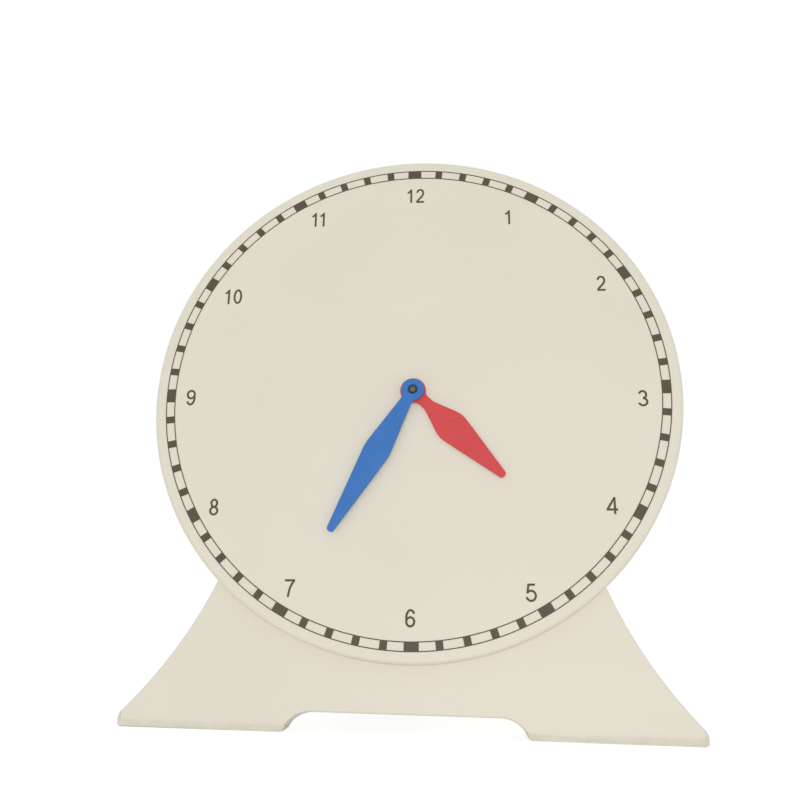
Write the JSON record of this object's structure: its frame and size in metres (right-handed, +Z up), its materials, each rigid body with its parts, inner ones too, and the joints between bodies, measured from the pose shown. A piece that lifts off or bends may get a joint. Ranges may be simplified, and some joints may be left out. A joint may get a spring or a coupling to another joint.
{
  "type": "demonstration clock",
  "caption": "Teaching clock: round dial with a printed minute track, loose red hour hand and blue minute hand on a common pivot, on a flared stand that leans back on a folding leg.",
  "frame": {"origin": "on the surface that the clock stands on, under the middle of its width and half-way between the front of its feet and the back of its open rear leg", "axes": "+Z up, +X to the right as the class sees the dial, +Y away from the class, towards the rear leg"},
  "size_m": [0.2044, 0.0636, 0.217],
  "materials": {
    "cream_plastic": "satin moulded cream plastic",
    "print_ink": "flat dark screen print",
    "red_plastic": "smooth moulded red plastic",
    "blue_plastic": "smooth moulded blue plastic",
    "brass": "dull aged brass",
    "steel": "zinc plated steel",
    "nylon": "natural nylon"
  },
  "bodies": {
    "frame": {"dial_plate": "cream_plastic", "minute_track": "print_ink", "stand": "cream_plastic", "dial_screws": "steel", "pivot_screw": "brass", "front_washer": "nylon", "hand_spacer": "nylon", "rear_washer": "steel", "spring_washer": "steel", "pivot_nut": "steel", "hinge_pin": "steel", "pin_clip": "steel"},
    "hour_hand": {"hour_hand": "red_plastic"},
    "minute_hand": {"minute_hand": "blue_plastic"},
    "rear_leg": {"rear_leg": "cream_plastic"}
  },
  "joints": [
    {"name": "hour_turn", "type": "hinge", "parent": "frame", "child": "hour_hand", "pos_m": [0, -0.00483, 0.12075], "axis": [0, -0.9659, 0.2588], "continuous": true},
    {"name": "minute_turn", "type": "hinge", "parent": "frame", "child": "minute_hand", "pos_m": [0, -0.00483, 0.12075], "axis": [0, -0.9659, 0.2588], "continuous": true},
    {"name": "leg_fold", "type": "hinge", "parent": "frame", "child": "rear_leg", "pos_m": [0, 0.00505, 0.08808], "axis": [-1, 0, 0], "range_deg": [0, 30]}
  ]
}
